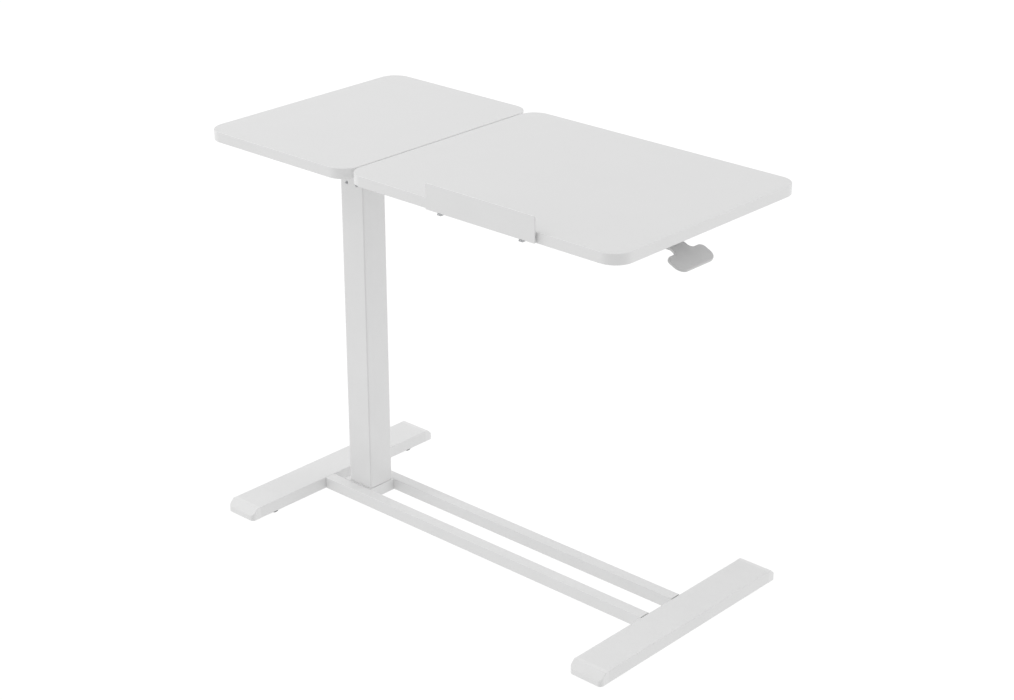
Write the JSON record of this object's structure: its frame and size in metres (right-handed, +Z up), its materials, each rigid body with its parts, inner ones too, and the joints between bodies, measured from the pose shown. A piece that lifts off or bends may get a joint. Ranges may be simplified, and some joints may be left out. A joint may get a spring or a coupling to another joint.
{
  "type": "overbed table",
  "caption": "Low overbed table with a fixed and a tilting top board, lifting column, squeeze lever, folding book stopper and roller feet.",
  "frame": {"origin": "on the floor, under the middle of the whole table", "axes": "+X along the top, from the column end to the lever end; +Y from the book stopper's edge to the back edge; +Z up"},
  "size_m": [0.8071, 0.412, 0.6686],
  "materials": {
    "laminate_white": "white melamine laminate on board, fine matt texture",
    "powder_coat_white": "white powder coat, satin",
    "moulded_white": "white moulded plastic",
    "black_nylon": "black moulded nylon, matt",
    "black_steel": "black painted steel tube",
    "zinc_steel": "bright zinc plate",
    "hard_chrome": "polished hard chrome",
    "roller_rubber": "dark grey rubber",
    "lever_coat": "white powder coat, satin"
  },
  "bodies": {
    "base": {"foot_left": "powder_coat_white", "foot_right": "powder_coat_white", "foot_cap_left_front": "moulded_white", "foot_cap_left_rear": "moulded_white", "foot_cap_right_front": "moulded_white", "foot_cap_right_rear": "moulded_white", "rail_front": "powder_coat_white", "rail_rear": "powder_coat_white", "crossbar": "powder_coat_white", "column_inner": "powder_coat_white", "glide_upper": "black_nylon", "spring_cylinder": "black_steel", "spring_base_bolt": "zinc_steel", "caster_housing_left_front": "black_nylon", "caster_housing_left_rear": "black_nylon", "caster_housing_right_front": "black_nylon", "caster_housing_right_rear": "black_nylon"},
    "roller_left_front": {"roller_left_front": "roller_rubber"},
    "roller_left_rear": {"roller_left_rear": "roller_rubber"},
    "roller_right_front": {"roller_right_front": "roller_rubber"},
    "roller_right_rear": {"roller_right_rear": "roller_rubber"},
    "lift": {"column_outer": "powder_coat_white", "glide_lower": "black_nylon", "spring_head": "zinc_steel", "column_screw_left": "zinc_steel", "column_screw_right": "zinc_steel", "spring_rod": "hard_chrome", "rod_nut": "zinc_steel", "head_plate": "powder_coat_white", "arm_front": "powder_coat_white", "arm_rear": "powder_coat_white", "frame_end": "powder_coat_white", "stay_rail": "powder_coat_white", "hinge_lug_left": "powder_coat_white", "hinge_lug_right": "powder_coat_white", "top_fixed": "laminate_white", "board_screw_outer_front": "zinc_steel", "board_screw_outer_rear": "zinc_steel", "board_screw_inner_front": "zinc_steel", "board_screw_inner_rear": "zinc_steel", "lever_bracket": "zinc_steel", "lever_pin": "zinc_steel", "release_cable": "black_nylon", "cable_clip": "black_nylon"},
    "crank": {"release_crank": "zinc_steel"},
    "pin": {"release_pin": "zinc_steel"},
    "lever": {"release_lever": "lever_coat"},
    "tilt": {"top_tilting": "laminate_white", "hinge_clevis_left": "powder_coat_white", "hinge_clevis_right": "powder_coat_white", "hinge_pin_left": "zinc_steel", "hinge_pin_right": "zinc_steel", "stay_clip_left": "black_nylon", "stay_clip_right": "black_nylon", "stopper_bracket_left": "zinc_steel", "stopper_bracket_right": "zinc_steel"},
    "stay": {"stay": "zinc_steel"},
    "stopper": {"stopper_plate": "powder_coat_white", "stopper_knuckle_left": "zinc_steel", "stopper_knuckle_right": "zinc_steel"}
  },
  "joints": [
    {"name": "lift_slide", "type": "slide", "parent": "base", "child": "lift", "axis": [0, 0, 1], "range_m": [0, 0.38]},
    {"name": "tilt_hinge", "type": "hinge", "parent": "lift", "child": "tilt", "pos_m": [0.1465, -0.165, 0.62], "axis": [1, 0, 0], "range_deg": [0, 45]},
    {"name": "stay_fold", "type": "hinge", "parent": "tilt", "child": "stay", "pos_m": [0.1465, -0.045, 0.62], "axis": [1, 0, 0], "range_deg": [-90, 0]},
    {"name": "stopper_fold", "type": "hinge", "parent": "tilt", "child": "stopper", "pos_m": [0.1605, -0.2039, 0.6284], "axis": [1, 0, 0], "range_deg": [0, 180]},
    {"name": "lever_squeeze", "type": "hinge", "parent": "lift", "child": "lever", "pos_m": [0.3345, -0.0358, 0.6067], "axis": [0, -1, 0], "range_deg": [0, 12], "stiffness_Nm_per_rad": 1.5, "springref_deg": -8.59},
    {"name": "crank_turn", "type": "hinge", "parent": "lift", "child": "crank", "pos_m": [-0.2885, 0, 0.577], "axis": [0, 1, 0], "range_deg": [0, 12]},
    {"name": "pin_press", "type": "slide", "parent": "lift", "child": "pin", "axis": [0, 0, -1], "range_m": [0, 0.0033]},
    {"name": "roller_left_front_spin", "type": "hinge", "parent": "base", "child": "roller_left_front", "pos_m": [-0.3635, -0.152, 0.0105], "axis": [1, 0, 0], "continuous": true},
    {"name": "roller_left_rear_spin", "type": "hinge", "parent": "base", "child": "roller_left_rear", "pos_m": [-0.3635, 0.152, 0.0105], "axis": [1, 0, 0], "continuous": true},
    {"name": "roller_right_front_spin", "type": "hinge", "parent": "base", "child": "roller_right_front", "pos_m": [0.3565, -0.152, 0.0105], "axis": [1, 0, 0], "continuous": true},
    {"name": "roller_right_rear_spin", "type": "hinge", "parent": "base", "child": "roller_right_rear", "pos_m": [0.3565, 0.152, 0.0105], "axis": [1, 0, 0], "continuous": true}
  ],
  "couplings": [
    {"joint": "stay_fold", "follows": "tilt_hinge", "ratio": -2},
    {"joint": "crank_turn", "follows": "lever_squeeze", "ratio": 1},
    {"joint": "pin_press", "follows": "lever_squeeze", "m_per_rad": 0.0155}
  ]
}
